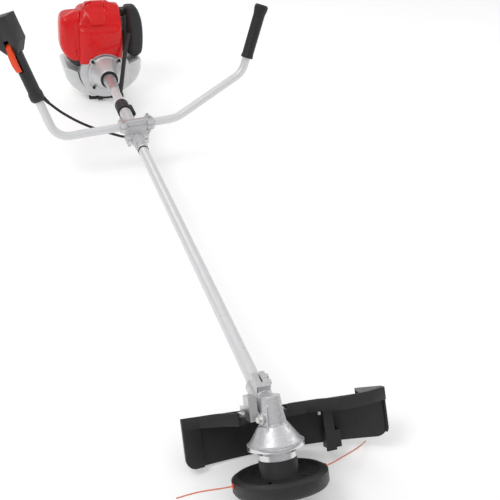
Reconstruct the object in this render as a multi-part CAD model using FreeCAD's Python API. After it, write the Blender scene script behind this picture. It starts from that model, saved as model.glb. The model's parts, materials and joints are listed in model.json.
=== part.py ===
"""Petrol brush cutter with a bicycle handlebar, four-stroke engine and line head, in millimetres.

The pieces are modelled in the pole frame: Y runs along the drive tube from the gear case to the
engine, +X is the operator's left and +Z is up. place_all() then pitches the machine by REST_PITCH so
that the line head and the stand both lie on z = 0, and centres it over the origin.
"""
import FreeCAD
import Part
import os
from math import atan2, cos, degrees, pi, radians, sin, tan

V = FreeCAD.Vector
X, Y, Z = V(1, 0, 0), V(0, 1, 0), V(0, 0, 1)

# Drive tube and drive shaft
TUBE_R = 13.0
TUBE_WALL = 1.5
TUBE_START, TUBE_END = -28.0, 1446.0
SHAFT_R = 4.0
BUSH_CLEARANCE = 0.05
BUSH_STATIONS = (150.0, 450.0, 750.0, 1050.0, 1320.0)
SLEEVE_R = 16.5
SLEEVE_START, SLEEVE_END = 952.0, 1178.0
BAND_START, BAND_END = 1182.0, 1236.0

# Gear case and line head: the output axis crosses the tube axis at y = HEAD_Y
HEAD_Y = -81.6
HEAD_TILT = 34.0
BEARING_R, BEARING_BORE_R, BEARING_W = 13.0, 5.0, 8.0
CASE_FLANGE_R = 47.0
CASE_TOP, CASE_SHOULDER, CASE_FOOT, RING_FOOT, RING_SPIGOT = 38.0, -8.0, -38.0, -44.5, -16.5
HOLDER_TOP, HOLDER_STEP, HUB_TOP = -45.5, -52.5, -61.5
HUB_R, HEAD_R, HEAD_RIM_TOP, HEAD_DECK, HEAD_BOTTOM = 31.5, 78.5, -85.0, -89.0, -111.0
LINE_R, LINE_W = 1.2, -93.0
LINE_A = ((-67.5, 0, -93), (-80, 0, -93), (-100, 3, -93), (-126, 10, -93), (-150, 9, -93), (-170, 3, -93))
LINE_B = ((67.5, 0, -93), (80, 0, -93), (98, 10, -93), (122, 28, -93), (152, 50, -93), (177, 72, -93),
          (194, 91, -93))
KNOB_BOTTOM = -121.5
GEAR_TEETH, PINION_TEETH = 20, 15
CONE_LENGTH = 16.5

# Guard, in the head frame: x, rearward u, up w
GUARD_BOTTOM, GUARD_LIP_BOTTOM, GUARD_LIP_TOP, GUARD_WALL = -80.0, -14.0, 8.0, 3.0
GUARD_LIP_RISE, GUARD_CORNER_R = 8.0, 18.0
GUARD_HINGE, GUARD_YAW, GUARD_SLOPE = (-124.0, 92.0), 12.0, 12.4
GUARD_REAR = ((-131, 100), (20, 116), (220, 52))
GUARD_FRONT = ((-131, 90), (-100, 94), (-66, 74), (-44, 52), (52, 52), (78, 54), (108, 36), (132, 22),
               (186, 26), (220, 38))
CUTTER_SCREW = (103.0, 62.0)

# Handlebar, in a plane through its clamp that leans back by BAR_LEAN
BAR_Y, BAR_Z, BAR_LEAN = 1015.0, 35.0, 10.0
BAR_R, BAR_WALL = 11.0, 2.0
BAR_POINTS = ((-270.2, 150.9), (-211.5, -19.0), (109.0, 9.0), (298.0, 121.0), (348.0, 276.6))
BAR_RADII = (46.0, 90.0, 58.0)
BAR_TILT = degrees(atan2(28.0, 320.5))
LEFT_GRIP, LEFT_GRIP_LEAN = (-246.0, 81.0), 19.1
RIGHT_GRIP, RIGHT_GRIP_LEAN = (311.0, 159.0), -17.8
GRIP_LENGTH = 143.0
THROTTLE_TURN = -32.0
TRIGGER_PIVOT, LOCKOUT_PIVOT, PIVOT_R = (-7.5, 152.0), (8.0, 154.0), 1.8

# Engine, with its crankshaft in line with the tube
HOUSING_START, FLANGE_Y, DAMPER_R = 1345.0, 1506.0, 27.0
BOLT_HALF = 41.6
FAN_R, FAN_END = 80.0, 1552.0
COVER_FRONT, COVER_BACK, COVER_WALL = 1500.0, 1660.0, 3.0
MUFFLER_FRONT, MUFFLER_BACK = 1514.0, 1646.0
CYLINDER_Y, BORE_R, CRANK_THROW, CARB_X = 1590.0, 19.5, 15.0, 54.0
TANK_FRONT, TANK_BACK, TANK_WALL = 1538.0, 1682.0, 3.0
CLEANER_FRONT, CLEANER_BACK = 1540.0, 1638.0
STARTER_FRONT, STARTER_BACK, STARTER_R = 1626.0, 1672.0, 55.0
CAP_CENTRE = (82.0, -22.0)
ROPE_EYE = (-36.0, 30.0)

# Pose on the floor
REST_PITCH = 1.16
FASTENER_R = 3.0

# Cable route from the carburettor to the throttle handle
CABLE_R, CONDUIT_R = 3.5, 6.5
CABLE_ROUTE = ((79, 1524, 117), (67, 1502, 91), (55, 1474, 60), (42, 1438, 26), (28, 1396, -6),
               (12, 1346, -30), (16, 1294, -26), (24, 1244, -7), (24, 1182, -7), (9, 1112, -28),
               (-18, 1062, -24), (-76, 1040, 8), (-120, 1034, 30),
               (-158, 1032, 53), (-196, 1030, 82), (-227, 1029, 113))
CONDUIT_EDGES = 9
BAND_POINT = 7


def cyl(r, start, end, x=0.0, z=0.0):
    """Cylinder along Y between two stations."""
    return Part.makeCylinder(r, end - start, V(x, start, z), Y)


def tube(outer, inner, start, end, x=0.0, z=0.0):
    """Hollow cylinder along Y."""
    return cyl(outer, start, end, x, z).cut(cyl(inner, start - 1, end + 1, x, z))


def rod(r, low, high, x=0.0, y=0.0):
    """Cylinder along Z."""
    return Part.makeCylinder(r, high - low, V(x, y, low), Z)


def cone(r_low, r_high, low, high):
    """Frustum along Z."""
    return Part.makeCone(r_low, r_high, high - low, V(0, 0, low), Z)


def box(x0, x1, y0, y1, z0, z1, fillet=0.0):
    """Block from limits, with all edges rounded if a fillet is given."""
    block = Part.makeBox(x1 - x0, y1 - y0, z1 - z0, V(x0, y0, z0))
    return block.makeFillet(fillet, block.Edges) if fillet else block


def union(*shapes):
    """One solid from touching or overlapping shapes."""
    return shapes[0].fuse(list(shapes[1:])).removeSplitter()


def group(*shapes):
    """Separate solids kept in one node."""
    solids = [solid for shape in shapes for solid in shape.Solids]
    return Part.makeCompound(solids)


def prism(points, start, end):
    """Outline of (x, z) points extruded along Y."""
    wire = Part.makePolygon([V(x, start, z) for x, z in points + [points[0]]])
    return Part.Face(wire).extrude(V(0, end - start, 0))


def inset_prism(points, inset, start, end):
    """The same outline moved inwards by inset."""
    wire = Part.makePolygon([V(x, start, z) for x, z in points + [points[0]]])
    return Part.Face(wire).makeOffset2D(-inset, 2).extrude(V(0, end - start, 0))


def turned(profile):
    """Solid of revolution about Z from (r, z) points."""
    wire = Part.makePolygon([V(r, 0, z) for r, z in profile + [profile[0]]])
    return Part.Face(wire).revolve(V(0, 0, 0), Z, 360)


def rounded_route(points, radii):
    """Straight runs joined by tangent arcs, one radius per inner point."""
    edges = []
    last = points[0]
    for i, radius in enumerate(radii, 1):
        before = (points[i - 1] - points[i]).normalize()
        after = (points[i + 1] - points[i]).normalize()
        half = before.getAngle(after) / 2
        reach = radius / tan(half)
        centre = points[i] + (before + after).normalize() * (radius / sin(half))
        first, final = points[i] + before * reach, points[i] + after * reach
        middle = centre + (points[i] - centre).normalize() * radius
        edges += [Part.LineSegment(last, first).toShape(), Part.Arc(first, middle, final).toShape()]
        last = final
    edges.append(Part.LineSegment(last, points[-1]).toShape())
    return Part.Wire(edges)


def pipe(route, r):
    """Round bar swept along a route."""
    start = route.Edges[0]
    axis = start.tangentAt(start.FirstParameter)
    section = Part.Wire(Part.makeCircle(r, start.valueAt(start.FirstParameter), axis))
    return route.makePipeShell([section], True, False)


def cord_radii(points):
    """Arc radius at each inner point: 0.45 of the shorter run over the tangent of half the turn."""
    radii = []
    for i in range(1, len(points) - 1):
        back, ahead = points[i - 1] - points[i], points[i + 1] - points[i]
        turn = pi - back.getAngle(ahead)
        radii.append(0.45 * min(back.Length, ahead.Length) / tan(turn / 2))
    return radii


def screw(length, head_r=5.2, head_h=5.0):
    """Hexagon screw that points down -Z, with its head's seat at the origin."""
    corners = [V(head_r * cos(i * pi / 3), head_r * sin(i * pi / 3), 0) for i in range(7)]
    head = Part.Face(Part.makePolygon(corners)).extrude(V(0, 0, head_h))
    return union(head, rod(FASTENER_R, -length, 0))


def at(shape, position, axis=Z):
    """Turn a shape's +Z to an axis and move its origin to a position."""
    moved = shape.copy()
    moved.Placement = FreeCAD.Placement(V(*position), FreeCAD.Rotation(Z, V(*axis))).multiply(moved.Placement)
    return moved


def head_frame(shape):
    """From the head frame (x, rearward, up the output axis) to the pole frame."""
    moved = shape.copy()
    tilt = FreeCAD.Placement(V(0, HEAD_Y, 0), FreeCAD.Rotation(X, -HEAD_TILT))
    moved.Placement = tilt.multiply(moved.Placement)
    return moved


def bar_point(x, height):
    """Point in the handlebar's leaning plane."""
    lean = radians(BAR_LEAN)
    return V(x, BAR_Y + height * sin(lean), BAR_Z + height * cos(lean))


def grip_frame(shape, foot, lean, turn=0.0):
    """From a grip's own frame, +Z up the grip and +Y to the operator, to the pole frame."""
    spin = FreeCAD.Rotation(X, -BAR_LEAN).multiply(FreeCAD.Rotation(Y, -lean))
    spin = spin.multiply(FreeCAD.Rotation(Z, turn))
    moved = shape.copy()
    moved.Placement = FreeCAD.Placement(bar_point(*foot), spin).multiply(moved.Placement)
    return moved


def pole():
    """Drive tube with its sleeve, bushes and shaft."""
    parts = {}
    parts["drive_tube"] = tube(TUBE_R, TUBE_R - TUBE_WALL, TUBE_START, TUBE_END)
    parts["tube_sleeve"] = tube(SLEEVE_R, TUBE_R, SLEEVE_START, SLEEVE_END)
    bushes = [tube(TUBE_R - TUBE_WALL, SHAFT_R + BUSH_CLEARANCE, y, y + 12) for y in BUSH_STATIONS]
    parts["shaft_bushes"] = group(*bushes)
    parts["drive_shaft"] = cyl(SHAFT_R, -50, 1476)
    return parts


def cord(label, route, r):
    """Round cord along a route. Prints its arc radii, length, and volume over section x length."""
    points = [V(*p) for p in route]
    radii = cord_radii(points)
    line = rounded_route(points, radii)
    solid = pipe(line, r)
    print(label, "radii", [round(radius, 1) for radius in radii], "length", round(line.Length, 1),
          "volume ratio", round(solid.Volume / (pi * r * r * line.Length), 4))
    return solid, line


def cable_parts():
    """Throttle cable, its outer conduit and the rubber band that holds it to the tube."""
    cable, route = cord("throttle_cable", CABLE_ROUTE, CABLE_R)
    outer = Part.Wire(route.Edges[:CONDUIT_EDGES])
    conduit = pipe(outer, CONDUIT_R).cut(cable)
    x, z = CABLE_ROUTE[BAND_POINT][0], CABLE_ROUTE[BAND_POINT][2]
    lobe = cyl(CABLE_R + 4, BAND_START, BAND_END, x, z)
    band = union(cyl(20, BAND_START, BAND_END), lobe).cut(cyl(TUBE_R, BAND_START - 1, BAND_END + 1))
    return {"throttle_cable": cable, "cable_conduit": conduit, "cable_band": band.cut(cable)}


def bevel(teeth, half_angle, bore):
    """Bevel gear about Z with its apex at the origin and its face towards -Z.

    The teeth end at the pitch cone, less a running gap.
    """
    gap, face, depth = 0.15, 6.0, 1.7
    a = radians(half_angle)
    outer, inner = CONE_LENGTH, CONE_LENGTH - face
    back = cos(a) * outer + 4.0 + depth
    profile = [(inner * sin(a) - gap, -inner * cos(a) - gap), (outer * sin(a) - gap, -outer * cos(a) - gap),
               (outer * sin(a) - gap, -back), (bore, -back), (bore, -inner * cos(a) - gap)]
    blank = turned(profile)
    slot_half = pi * outer * sin(a) / teeth / 2
    slots = []
    for i in range(teeth):
        notch = Part.makeBox(outer, 2 * slot_half * 0.9, depth * 2)
        notch.translate(V(inner - 1, -slot_half * 0.9, -depth))
        notch.rotate(V(0, 0, 0), Y, 90 - half_angle)
        notch.rotate(V(0, 0, 0), Z, 360.0 * i / teeth)
        slots.append(notch)
    return blank.cut(slots)


def gear_case():
    """Cast case, its bearings, gears and output shaft."""
    parts = {}
    ratio = GEAR_TEETH / PINION_TEETH
    shaft_angle = radians(90 + HEAD_TILT)
    pinion_angle = degrees(atan2(sin(shaft_angle), ratio + cos(shaft_angle)))
    gear = bevel(GEAR_TEETH, 90 + HEAD_TILT - pinion_angle, BEARING_BORE_R)
    parts["bevel_gear"] = head_frame(gear)
    pinion = bevel(PINION_TEETH, pinion_angle, SHAFT_R)
    pinion = union(pinion, rod(BEARING_BORE_R - 0.05, -51, -16).cut(rod(SHAFT_R, -60, 0)))
    pinion.rotate(V(0, 0, 0), X, 90)
    pinion.translate(V(0, HEAD_Y, 0))
    parts["bevel_pinion"] = pinion

    column = union(cone(20, 17, CASE_SHOULDER, CASE_TOP), cone(45, 24, CASE_FOOT, CASE_SHOULDER),
                   rod(CASE_FLANGE_R, CASE_FOOT, CASE_FOOT + 1.5))
    ribs = []
    for side in (-1, 1):
        rib = Part.makeBox(2.4, 12, 40, V(-1.2, -30, CASE_SHOULDER - 8))
        rib.rotate(V(0, 0, 0), Z, side * 38)
        ribs.append(rib.common(cone(30, 18, CASE_SHOULDER - 12, CASE_TOP)))
    plug_boss = at(rod(9, 0, 25), (0, 0, 4), (-1, -0.35, 0))
    outer = head_frame(union(column, plug_boss, *ribs))
    socket = cyl(19, -66, 2)
    ears = box(-12, 12, -36, 0, 12, 30)
    slot = box(-1.2, 1.2, TUBE_START + 2, 3, 0, 32)
    body = union(outer, socket, ears).cut(slot)
    cavity = [rod(17.4, CASE_FOOT - 1, 6), cone(17.4, 10, 6, 12), rod(10, 11, 17)]
    body = body.cut([head_frame(shape) for shape in cavity])
    body = body.cut([cyl(TUBE_R, TUBE_START, 3), cyl(BEARING_R, HEAD_Y + 4, TUBE_START + 1)])
    clamp_screws = [at(screw(24), (12, y, 22), X) for y in (-20, -6)]
    plug = head_frame(at(screw(6), (-23.5, -8.2, 4), (-1, -0.35, 0)))
    parts["gear_case"] = body.cut(clamp_screws + [plug])
    ring = union(rod(CASE_FLANGE_R, RING_FOOT, CASE_FOOT - 0.01), rod(17.3, CASE_FOOT - 1, RING_SPIGOT))
    parts["gear_case_ring"] = head_frame(ring.cut(rod(BEARING_R, RING_FOOT - 1, RING_SPIGOT + 1)))

    def bearing():
        return rod(BEARING_R, 0, BEARING_W).cut(rod(BEARING_BORE_R, -1, BEARING_W + 1))
    upper = head_frame(at(bearing(), (0, 0, RING_SPIGOT - BEARING_W)))
    lower = head_frame(at(bearing(), (0, 0, RING_SPIGOT - 2 * BEARING_W - 0.5)))
    pinion_bearing = at(bearing(), (0, TUBE_START - BEARING_W - 1, 0), Y)
    drum_bearing = at(bearing(), (0, TUBE_END + 2, 0), Y)
    parts["ball_bearings"] = group(upper, lower, pinion_bearing, drum_bearing)
    parts["output_shaft"] = head_frame(rod(BEARING_BORE_R - 0.05, -82, -1))
    return parts, clamp_screws + [plug]


def line_head():
    """Blade holder, line head with its spool and tap knob, and the two line ends."""
    parts = {}
    holder = turned([(5, HOLDER_TOP), (24, HOLDER_TOP), (27, HOLDER_TOP - 2), (27, HOLDER_STEP),
                     (31.6, HOLDER_STEP), (31.6, HUB_TOP), (5, HUB_TOP)])
    parts["blade_holder"] = head_frame(holder)
    shell = turned([(5, HUB_TOP), (HUB_R, HUB_TOP), (HUB_R, HEAD_DECK), (62, HEAD_DECK), (67, HEAD_RIM_TOP),
                    (72, HEAD_RIM_TOP), (HEAD_R, HEAD_RIM_TOP - 4), (HEAD_R, HEAD_BOTTOM + 5),
                    (HEAD_R - 3, HEAD_BOTTOM), (67, HEAD_BOTTOM), (67, HEAD_DECK - 3.5),
                    (12, HEAD_DECK - 3.5), (12, -84), (5, -84)])
    for side in (-1, 1):
        eyelet = [Part.makeCylinder(LINE_R + 0.1, 20, V(side * 60, 0, LINE_W), V(side, 0, 0)),
                  Part.makeCylinder(3.2, 20, V(side * 70, 0, LINE_W), V(side, 0, 0))]
        shell = shell.cut(eyelet)
        for angle in (52, 128):
            slot = Part.makeBox(14, 7, 12, V(38, -3.5, HEAD_DECK - 8))
            slot.rotate(V(0, 0, 0), Z, angle * side)
            shell = shell.cut(slot)
    parts["line_head"] = head_frame(shell)
    spool = turned([(9, -110.5), (64, -110.5), (64, -108), (30, -108), (30, -101), (64, -101), (64, -98.5),
                    (9, -98.5)])
    parts["line_spool"] = head_frame(spool)
    knob = turned([(0, -110.51), (30, -110.51), (30, -114), (26, -119), (20, KNOB_BOTTOM), (0, KNOB_BOTTOM)])
    parts["tap_knob"] = head_frame(knob)
    for name, route in (("line_end_a", LINE_A), ("line_end_b", LINE_B)):
        parts[name] = head_frame(cord(name, route, LINE_R)[0])
    return parts


def guard():
    """Moulded guard behind the line head, its bracket and the line cutter.

    The guard is a shallow tray, upside down, whose top slopes down to the rear.
    """
    def plan(points):
        return [V(x, u, 0) for x, u in points]

    def above_slope(drop):
        """The space above the sloping top plane, lowered by drop."""
        space = Part.makeBox(600, 600, 100, V(-300, -300, -drop))
        slope = FreeCAD.Rotation(Z, -GUARD_YAW).multiply(FreeCAD.Rotation(X, -GUARD_SLOPE))
        space.Placement = FreeCAD.Placement(V(*GUARD_HINGE, GUARD_LIP_TOP), slope)
        return space
    rear = Part.Arc(*plan(GUARD_REAR)).toShape()
    front = plan(GUARD_FRONT)
    closing = [Part.makePolygon([plan(GUARD_REAR)[0], front[0]]), Part.makePolygon(front),
               Part.makePolygon([front[-1], plan(GUARD_REAR)[-1]])]
    outline = Part.Wire(rear.Edges + [edge for wire in closing for edge in wire.Edges])
    face = Part.Face(outline)
    inner = face.makeOffset2D(-GUARD_WALL, 2)
    height = GUARD_LIP_TOP - GUARD_BOTTOM

    def block(shape):
        solid = shape.extrude(V(0, 0, height))
        solid.translate(V(0, 0, GUARD_BOTTOM))
        return solid
    hollow = block(inner)
    above = hollow.common(above_slope(GUARD_LIP_RISE))
    hollow.translate(V(0, 0, -GUARD_WALL))
    below = hollow.cut(above_slope(GUARD_LIP_RISE + GUARD_WALL))
    shell = block(face).cut([above_slope(0), above, below])
    skirt_cut = Part.makeBox(500, 200, 100, V(-200, -100, GUARD_LIP_BOTTOM - 100))
    behind = [Part.Arc(*plan([(-137, 88), (20, 104), (226, 38)])).toShape(),
              *Part.makePolygon(plan([(226, 38), (226, 200), (-137, 200), (-137, 88)])).Edges]
    shell = shell.cut(skirt_cut.cut(Part.Face(Part.Wire(behind)).extrude(V(0, 0, -200))))
    ends = box(-131, 220, -20, 160, GUARD_BOTTOM, 20)
    corners = [edge for edge in ends.Edges
               if abs(edge.BoundBox.ZMax - GUARD_BOTTOM) < 1 and edge.BoundBox.YLength > 100]
    shell = shell.common(ends.makeFillet(GUARD_CORNER_R, corners))
    pads = [Part.makeBox(78, 38, 9, V(-38, 44, -9)), rod(8, -12, -1, *CUTTER_SCREW)]
    bracket_room = Part.makeBox(86, 46, 60, V(-40, 40, 0.01))
    shell = union(shell, *pads).cut(bracket_room)
    shell = max(shell.Solids, key=lambda s: s.Volume)
    bracket = union(Part.makeBox(74, 30, 4, V(-36, 50, 0.01)), Part.makeBox(10, 76, 14, V(-30, 4, 0.01)),
                    Part.makeBox(14, 30, 40, V(-36, 2, 0)))
    screws = [at(screw(12), (x, 65, 4)) for x in (-24, 26)]
    strap = union(Part.makeBox(30, 4, 88, V(97, 60, -88)).cut(Part.makeBox(13, 6, 80, V(96, 59, -89))),
                  Part.makeBox(26, 22, 30, V(112, 64, -85)))
    strap = strap.cut([above_slope(GUARD_LIP_RISE + GUARD_WALL), rod(8.01, -12.01, 0, *CUTTER_SCREW)])
    cutter_screw = at(screw(22), (*CUTTER_SCREW, -1), Z)
    screws.append(cutter_screw)
    return shell.cut(screws), bracket.cut(screws).cut(shell), screws, strap.cut(screws)


def handlebar_parts():
    """Bent bar, its three-piece clamp, and the plain grip."""
    parts = {}
    points = [bar_point(*p) for p in BAR_POINTS]
    route = rounded_route(points, BAR_RADII)
    bar = pipe(route, BAR_R)
    parts["handlebar"] = bar.cut(pipe(route, BAR_R - BAR_WALL))

    def clamp_frame(shape):
        moved = shape.copy()
        spin = FreeCAD.Rotation(X, -BAR_LEAN).multiply(FreeCAD.Rotation(Y, -BAR_TILT))
        moved.Placement = FreeCAD.Placement(V(0, BAR_Y, BAR_Z - 0.8), spin).multiply(moved.Placement)
        return moved
    corners = [(x, y) for x in (-35, 35) for y in (-18, 18)]
    top_screws = [at(screw(26), (x, y, 15)) for x, y in corners]
    cap = box(-47, 47, -13, 13, 0.4, 15, 2.5)
    base = box(-47, 47, -14, 14, -13, -0.4, 2.5)
    for x, y in corners:
        cap = cap.fuse(rod(8.5, 0.4, 15, x, y))
        base = base.fuse(rod(8.5, -13, -0.4, x, y))
    top_screws = [clamp_frame(shape) for shape in top_screws]
    cap = clamp_frame(cap.removeSplitter()).cut([bar] + top_screws)
    neck = Part.makeLoft([Part.makePolygon([V(x, y, z) for x, y in
                          ((-w, BAR_Y - d), (w, BAR_Y - d), (w, BAR_Y + d),
                            (-w, BAR_Y + d), (-w, BAR_Y - d))])
                          for z, w, d in ((0.4, 25, 20), (24, 38, 15))], True)
    foot_screws = [at(screw(24), (x, y, -18), (0, 0, -1))
                   for x in (-22, 22) for y in (BAR_Y - 10, BAR_Y + 10)]
    ears = box(-30, 30, BAR_Y - 20, BAR_Y + 20, 0.4, 12, 3)
    base = union(clamp_frame(base.removeSplitter()), neck, ears)
    sleeve = cyl(SLEEVE_R, BAR_Y - 60, BAR_Y + 60)
    parts["clamp_base"] = base.cut([bar, sleeve, cap] + top_screws + foot_screws)
    foot = union(box(-30, 30, BAR_Y - 20, BAR_Y + 20, -14, -0.4, 3), cyl(22, BAR_Y - 20, BAR_Y + 20))
    foot = foot.common(box(-40, 40, BAR_Y - 30, BAR_Y + 30, -40, -0.4))
    screws = [shape.cut(bar) for shape in top_screws]
    foot = foot.cut([sleeve] + foot_screws)
    parts["clamp_foot"] = foot
    parts["clamp_cap"] = cap
    grip = turned([(BAR_R, 0), (16.3, 0), (16.3, 7), (15.2, 9), (15.6, 118), (18, 130), (18, 139), (14, GRIP_LENGTH),
                   (0, GRIP_LENGTH), (0, 126), (BAR_R, 126)])
    parts["left_grip"] = grip_frame(grip, RIGHT_GRIP, RIGHT_GRIP_LEAN).cut(bar)
    return parts, bar, screws + foot_screws


def pivot_pin(centre, r):
    """Cross pin of the throttle handle at (y, z) of the grip frame."""
    return Part.makeCylinder(r, 28, V(-14, *centre), X)


def throttle_handle(bar, cable):
    """Two-shell throttle handle with its trigger, lock-out lever and stop switch."""
    def to_pole(shape):
        return grip_frame(shape, LEFT_GRIP, LEFT_GRIP_LEAN, THROTTLE_TURN)
    outer = turned([(0, 0), (15, 0), (18.5, 6), (18.5, 20), (16.2, 28), (16.2, 150), (0, 150)])
    pod = Part.makeLoft([Part.makePolygon([V(x, y, z) for x, y in
                         ((-w, -d), (w, -d), (w, d + 4), (-w, d + 4), (-w, -d))])
                         for z, w, d in ((128, 13, 15), (156, 30, 21), (222, 30, 21))], True, True)
    body = union(outer, pod)
    hollow = union(rod(13, 80, 136), box(-25, 25, -17, 20, 154, 217), rod(12, 130, 160))
    body = body.cut(hollow)
    body = body.cut([box(-7.2, 7.2, -40, 0, 82, 166), box(-6.2, 6.2, 0, 40, 92, 166),
                     box(-5.2, 5.2, 20, 40, 184, 200)])
    body = body.fuse([pivot_pin(TRIGGER_PIVOT, PIVOT_R), pivot_pin(LOCKOUT_PIVOT, PIVOT_R)])
    trigger = prism([(-3, 156), (-11, 158), (-22, 150), (-30, 128), (-31, 106), (-26, 88), (-20, 85), (-21, 104),
                     (-19, 124), (-12, 138), (-3, 146)], -6.5, 6.5)
    trigger.rotate(V(0, 0, 0), Z, 90)
    trigger = trigger.cut(pivot_pin(TRIGGER_PIVOT, PIVOT_R + 0.06))
    lever = prism([(3, 160), (12, 161), (20, 152), (23, 130), (21, 100), (16, 96), (17.5, 124), (14, 142),
                   (3, 150)], -5.5, 5.5)
    lever.rotate(V(0, 0, 0), Z, 90)
    lever = lever.cut(pivot_pin(LOCKOUT_PIVOT, PIVOT_R + 0.06))
    switch = union(box(-4.8, 4.8, 21.2, 28.5, 184.6, 195.4), box(-7, 7, 16, 19.7, 182, 198))
    switch = union(switch, box(-4.8, 4.8, 19, 22, 184.6, 195.4))
    shell = to_pole(body).cut([bar, cable])
    halves = [to_pole(box(-60, 0, -60, 60, -10, 240)), to_pole(box(0, 60, -60, 60, -10, 240))]
    return {"throttle_case_outer": shell.common(halves[0]), "throttle_case_inner": shell.common(halves[1]),
            "throttle_trigger": to_pole(trigger), "throttle_lockout": to_pole(lever),
            "stop_switch": to_pole(switch)}


def clutch():
    """Clutch housing, rubber damper, drum and shoes."""
    parts = {}
    neck = turned([(TUBE_R, HOUSING_START), (15.2, HOUSING_START), (15.8, 1362), (19.5, 1432),
                   (20.5, 1439.99), (TUBE_R, 1439.99)])
    body = turned([(TUBE_R, 1446.01), (DAMPER_R, 1446.01), (31, 1452), (53, 1496), (57, 1496),
                   (57, FLANGE_Y), (0, FLANGE_Y), (0, 1476), (BEARING_R, 1458), (BEARING_R, 1446.01)])
    cavity = turned([(0, 1468), (30, 1468), (40, 1480), (40, FLANGE_Y + 1), (0, FLANGE_Y + 1)])
    lugs = [rod(9, 1496, FLANGE_Y, x, z) for x in (-BOLT_HALF, BOLT_HALF) for z in (-BOLT_HALF, BOLT_HALF)]
    body = union(body, *lugs).cut([cavity, rod(BEARING_R, 1440, 1458), rod(6, 1450, 1470)])
    link = rod(TUBE_R + 3, 1439.98, 1446.02).cut(rod(TUBE_R, 1430, 1450))
    body = union(body, neck, link)
    parts["tube_damper"] = rod(DAMPER_R, 1440, 1446).cut(rod(TUBE_R + 3, 1430, 1450))
    drum = turned([(SHAFT_R, 1450), (4.95, 1450), (4.95, 1469.5), (9, 1472), (9, 1480), (36, 1484),
                   (36, 1502), (33, 1502), (33, 1487), (SHAFT_R, 1484)])
    parts["clutch_drum"] = drum
    shoe_block = rod(31.5, 1490, 1503).cut(rod(13, 1480, 1510))
    shoes = []
    for side in (-1, 1):
        keep = box(-40, 40, 2.5, 40, 1480, 1510) if side > 0 else box(-40, 40, -40, -2.5, 1480, 1510)
        shoes.append(union(shoe_block.common(keep), rod(4, 1502, 1514.99, 0, side * 22)))
    parts["clutch_shoes"] = group(*shoes)
    screws = [at(screw(16), (x, y, 1496), (0, 0, -1)) for x in (-BOLT_HALF, BOLT_HALF)
              for y in (-BOLT_HALF, BOLT_HALF)]
    parts["clutch_housing_screws"] = group(*screws)
    parts["clutch_housing"] = body.cut(screws)
    for name in parts:
        parts[name].rotate(V(0, 0, 0), X, -90)
        parts[name] = parts[name].mirror(V(0, 0, 0), Z)
    return parts


def engine_core(screws):
    """Crank, flywheel, fan cover, crankcase, cylinder, piston and plug."""
    parts = {}
    mid = CYLINDER_Y
    webs = [box(-12, 12, y, y + 8, -24, 21).common(cyl(24, y, y + 8)) for y in (mid - 18, mid + 10)]
    crank = union(cyl(7.5, 1500, mid - 10), cyl(7.5, mid + 10, 1652), *webs)
    crank = crank.fuse(cyl(6, mid - 10, mid + 10, 0, CRANK_THROW)).removeSplitter()
    wheel = union(tube(54, 7.5, 1515, 1521), tube(20, 7.5, 1515, 1536))
    blades = []
    for i in range(16):
        blade = box(34, 53.5, 1520.9, 1536, -1.2, 1.2)
        blade.rotate(V(0, 0, 0), Y, i * 22.5)
        blades.append(blade)
    parts["flywheel"] = union(wheel, *blades)
    parts["crankshaft"] = crank
    fan = tube(FAN_R, FAN_R - COVER_WALL, FLANGE_Y, FAN_END)
    fan = union(fan, tube(FAN_R, 41, FLANGE_Y, FLANGE_Y + COVER_WALL))
    bosses = [cyl(8, FLANGE_Y, FLANGE_Y + 7, x, z) for x in (-BOLT_HALF, BOLT_HALF)
              for z in (-BOLT_HALF, BOLT_HALF)]
    parts["fan_cover"] = union(fan, *bosses).cut([screws, cyl(41, FLANGE_Y - 1, FLANGE_Y + 9)])
    case = union(cyl(42, FAN_END + 0.01, STARTER_FRONT - 0.01), tube(76.9, 40, FAN_END - 8, FAN_END - 4),
                 tube(42, 34, FAN_END - 8, FAN_END + 1))
    chamber = cyl(26, mid - 22, mid + 22)
    case = case.cut([chamber, cyl(7.6, 1500, 1700), rod(BORE_R + 0.5, 0, 60, 0, mid)])
    case = case.cut(box(-60, 60, mid - 40, mid + 40, 40, 60))
    barrel = rod(27, 40.01, 92, 0, mid)
    fins = [box(-37, 36, mid - 34, mid + 34, z, z + 2.5) for z in range(48, 90, 7)]
    head = box(-30, 30, mid - 30, mid + 30, 88, 106, 3)
    port = Part.makeCylinder(12, 30, V(-28, mid, 78), V(-1, 0, 0))
    inlet = Part.makeCylinder(12, 15, V(24, mid, 82), V(1, 0, 0))
    cylinder = union(barrel, head, port, inlet, *fins)
    bore = union(rod(BORE_R + 0.02, 30, 82, 0, mid), rod(BORE_R - 3, 81, 85, 0, mid))
    plug = union(rod(6, 84, 112, 0, mid), rod(9, 106.01, 114, 0, mid), rod(5, 112, 132, 0, mid))
    parts["cylinder"] = cylinder.cut([bore, plug])
    parts["spark_plug"] = plug
    parts["crankcase"] = case
    piston = rod(BORE_R - 0.03, 55, 81.5, 0, mid).cut(rod(BORE_R - 3, 50, 77, 0, mid))
    pin = Part.makeCylinder(4, 36, V(-18, mid, 66), X)
    parts["piston"] = union(piston, pin)
    return parts


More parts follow.
